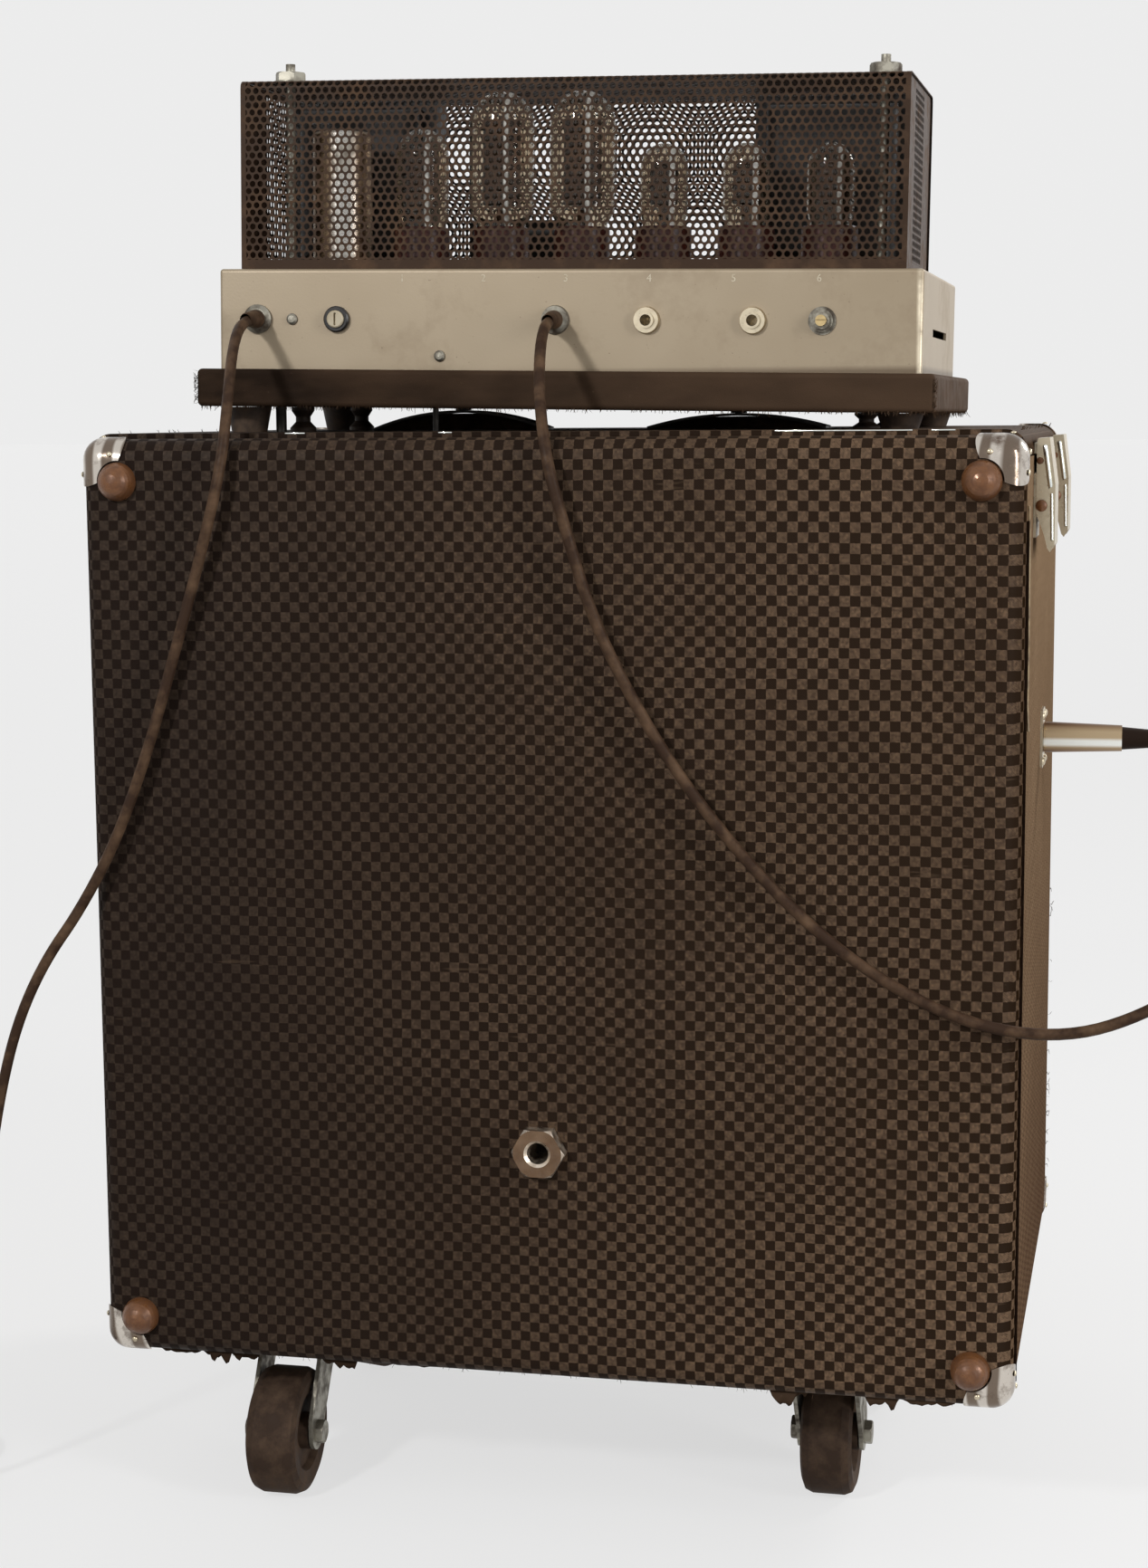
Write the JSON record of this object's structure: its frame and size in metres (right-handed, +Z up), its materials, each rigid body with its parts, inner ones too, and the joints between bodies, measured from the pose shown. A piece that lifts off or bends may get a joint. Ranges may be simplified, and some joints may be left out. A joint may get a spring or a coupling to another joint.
{
  "type": "guitar amplifier",
  "caption": "Valve guitar amplifier: a caged amplifier head on the lid of a wheeled, cloth-covered speaker box, with a mains cord and a speaker cord.",
  "frame": {"origin": "on the floor under the middle of the object's box, without its cords", "axes": "+Z up; the rear panel with the cords and jacks faces -Y; the speaker grille and the knobs face +Y; +X is to the right seen from the rear"},
  "size_m": [0.8928, 0.4426, 0.8564],
  "materials": {
    "covering": "embossed checked cloth-backed vinyl, worn at the edges",
    "covering_plain": "plain dark vinyl covering, frayed along its lower edge",
    "timber": "bare softwood battens",
    "timber_black": "black stained plywood",
    "grille_cloth": "coarse woven speaker cloth",
    "bright_chrome": "chromed steel with some tarnish",
    "nickel": "nickel plate dulled to a warm tone",
    "rusty_steel": "steel with brown rust",
    "zinc_steel": "zinc plated steel",
    "spring_steel": "blackened spring steel",
    "grey_enamel": "grey enamel",
    "paper": "pressed paper pulp",
    "cloth_surround": "doped corrugated cloth",
    "rubber": "aged rubber",
    "chassis_grey": "warm grey enamel, stained and worn bright at the edges",
    "black_plastic": "moulded bakelite",
    "cream_plastic": "aged ivory plastic",
    "brass": "dull brass",
    "brown_bakelite": "red-brown bakelite",
    "tube_glass": "clear glass silvered inside at the top",
    "anode_grey": "blackened nickel plates",
    "can_aluminium": "plain aluminium can",
    "transformer_black": "black enamel over laminated steel",
    "brown_board": "phenolic board with components",
    "cage_black": "perforated steel with worn black-brown enamel",
    "tread_rubber": "hard dark tyre on a steel hub, worn and dusty",
    "cord_rubber": "rubber cord, dusty brown-black"
  },
  "bodies": {
    "root": {"cabinet_back": "covering", "cabinet_left_side": "covering", "cabinet_right_side": "covering", "cabinet_bottom": "covering", "lid_board": "covering", "cabinet_battens": "timber", "speaker_baffle": "timber_black", "grille_frame": "timber_black", "grille_cloth": "grille_cloth", "corner_caps": "bright_chrome", "rear_glides": "rusty_steel", "stand_socket": "bright_chrome", "side_jack": "nickel", "latch_bases": "nickel", "speaker_basket": "grey_enamel", "speaker_suspension": "cloth_surround", "speaker_bolts": "zinc_steel", "caster_plates": "zinc_steel", "platform_board": "covering_plain", "shock_mounts": "rubber", "leaf_springs": "spring_steel", "chassis": "chassis_grey", "chassis_fittings": "zinc_steel", "rear_jacks": "nickel", "input_jacks": "nickel", "fuse_holder": "black_plastic", "control_pots": "zinc_steel", "tube_bases": "brown_bakelite", "tube_glass": "tube_glass", "tube_plates": "anode_grey", "capacitor_can": "can_aluminium", "transformers": "transformer_black", "component_board": "brown_board", "mains_cord": "cord_rubber", "mains_coil": "cord_rubber", "mains_plug": "cord_rubber", "speaker_cord": "cord_rubber", "speaker_plug": "nickel"},
    "fork_rear_left": {"caster_fork_rear_left": "zinc_steel"},
    "wheel_rear_left": {"caster_wheel_rear_left": "tread_rubber"},
    "fork_rear_right": {"caster_fork_rear_right": "zinc_steel"},
    "wheel_rear_right": {"caster_wheel_rear_right": "tread_rubber"},
    "fork_front_left": {"caster_fork_front_left": "zinc_steel"},
    "wheel_front_left": {"caster_wheel_front_left": "tread_rubber"},
    "fork_front_right": {"caster_fork_front_right": "zinc_steel"},
    "wheel_front_right": {"caster_wheel_front_right": "tread_rubber"},
    "lever_left_rear": {"latch_lever_left_rear": "nickel"},
    "lever_left_front": {"latch_lever_left_front": "nickel"},
    "lever_right_rear": {"latch_lever_right_rear": "nickel"},
    "lever_right_front": {"latch_lever_right_front": "nickel"},
    "cone": {"speaker_cone": "paper"},
    "cage": {"cage_shell": "cage_black", "cage_nuts": "zinc_steel"},
    "fuse_cap": {"fuse_cap": "cream_plastic"},
    "hum_shaft": {"hum_shaft": "brass"},
    "knob_1": {"knob_1": "black_plastic"},
    "knob_2": {"knob_2": "black_plastic"},
    "knob_3": {"knob_3": "black_plastic"},
    "knob_4": {"knob_4": "black_plastic"},
    "power_switch": {"power_switch": "bright_chrome"}
  },
  "joints": [
    {"name": "swivel_rear_left", "type": "hinge", "parent": "root", "child": "fork_rear_left", "pos_m": [-0.173, -0.1086, 0.09], "axis": [0, 0, 1], "continuous": true},
    {"name": "spin_rear_left", "type": "hinge", "parent": "fork_rear_left", "child": "wheel_rear_left", "pos_m": [-0.173, -0.1406, 0.038], "axis": [1, 0, 0], "continuous": true},
    {"name": "swivel_rear_right", "type": "hinge", "parent": "root", "child": "fork_rear_right", "pos_m": [0.153, -0.1086, 0.09], "axis": [0, 0, 1], "continuous": true},
    {"name": "spin_rear_right", "type": "hinge", "parent": "fork_rear_right", "child": "wheel_rear_right", "pos_m": [0.153, -0.0766, 0.038], "axis": [-1, 0, 0], "continuous": true},
    {"name": "swivel_front_left", "type": "hinge", "parent": "root", "child": "fork_front_left", "pos_m": [-0.173, 0.1194, 0.09], "axis": [0, 0, 1], "continuous": true},
    {"name": "spin_front_left", "type": "hinge", "parent": "fork_front_left", "child": "wheel_front_left", "pos_m": [-0.18074, 0.08835, 0.038], "axis": [0.9703, -0.2419, 0], "continuous": true},
    {"name": "swivel_front_right", "type": "hinge", "parent": "root", "child": "fork_front_right", "pos_m": [0.153, 0.1194, 0.09], "axis": [0, 0, 1], "continuous": true},
    {"name": "spin_front_right", "type": "hinge", "parent": "fork_front_right", "child": "wheel_front_right", "pos_m": [0.15801, 0.08779, 0.038], "axis": [0.9877, 0.1564, 0], "continuous": true},
    {"name": "latch_left_rear", "type": "hinge", "parent": "root", "child": "lever_left_rear", "pos_m": [-0.2712, -0.0896, 0.598], "axis": [0, -1, 0], "range_deg": [0, 15], "stiffness_Nm_per_rad": 0.4, "springref_deg": -11.46},
    {"name": "latch_left_front", "type": "hinge", "parent": "root", "child": "lever_left_front", "pos_m": [-0.2712, 0.1004, 0.598], "axis": [0, -1, 0], "range_deg": [0, 15], "stiffness_Nm_per_rad": 0.4, "springref_deg": -11.46},
    {"name": "latch_right_rear", "type": "hinge", "parent": "root", "child": "lever_right_rear", "pos_m": [0.2712, -0.0896, 0.598], "axis": [0, 1, 0], "range_deg": [0, 15], "stiffness_Nm_per_rad": 0.4, "springref_deg": -11.46},
    {"name": "latch_right_front", "type": "hinge", "parent": "root", "child": "lever_right_front", "pos_m": [0.2712, 0.1004, 0.598], "axis": [0, 1, 0], "range_deg": [0, 15], "stiffness_Nm_per_rad": 0.4, "springref_deg": -11.46},
    {"name": "cone_travel", "type": "slide", "parent": "root", "child": "cone", "axis": [0, 1, 0], "range_m": [-0.005, 0.005], "stiffness_N_per_m": 2500, "deforming": ["speaker_suspension"]},
    {"name": "cage_lift", "type": "slide", "parent": "root", "child": "cage", "axis": [0.0166, 0, 0.9999], "range_m": [0, 0.118]},
    {"name": "fuse_twist", "type": "hinge", "parent": "root", "child": "fuse_cap", "pos_m": [-0.13953, -0.1073, 0.70662], "axis": [0, -1, 0], "range_deg": [0, 60]},
    {"name": "hum_turn", "type": "hinge", "parent": "root", "child": "hum_shaft", "pos_m": [0.14673, -0.1073, 0.70187], "axis": [0, -1, 0], "range_deg": [-140, 140]},
    {"name": "knob_1_turn", "type": "hinge", "parent": "root", "child": "knob_1", "pos_m": [-0.06413, 0.1251, 0.70607], "axis": [0, 1, 0], "range_deg": [-145, 145]},
    {"name": "knob_2_turn", "type": "hinge", "parent": "root", "child": "knob_2", "pos_m": [-0.02413, 0.1251, 0.70541], "axis": [0, 1, 0], "range_deg": [-145, 145]},
    {"name": "knob_3_turn", "type": "hinge", "parent": "root", "child": "knob_3", "pos_m": [0.01586, 0.1251, 0.70474], "axis": [0, 1, 0], "range_deg": [-145, 145]},
    {"name": "knob_4_turn", "type": "hinge", "parent": "root", "child": "knob_4", "pos_m": [0.05586, 0.1251, 0.70408], "axis": [0, 1, 0], "range_deg": [-145, 145]},
    {"name": "switch_flip", "type": "hinge", "parent": "root", "child": "power_switch", "pos_m": [0.12085, 0.1106, 0.703], "axis": [0.9999, 0, -0.0166], "range_deg": [0, 24]}
  ]
}
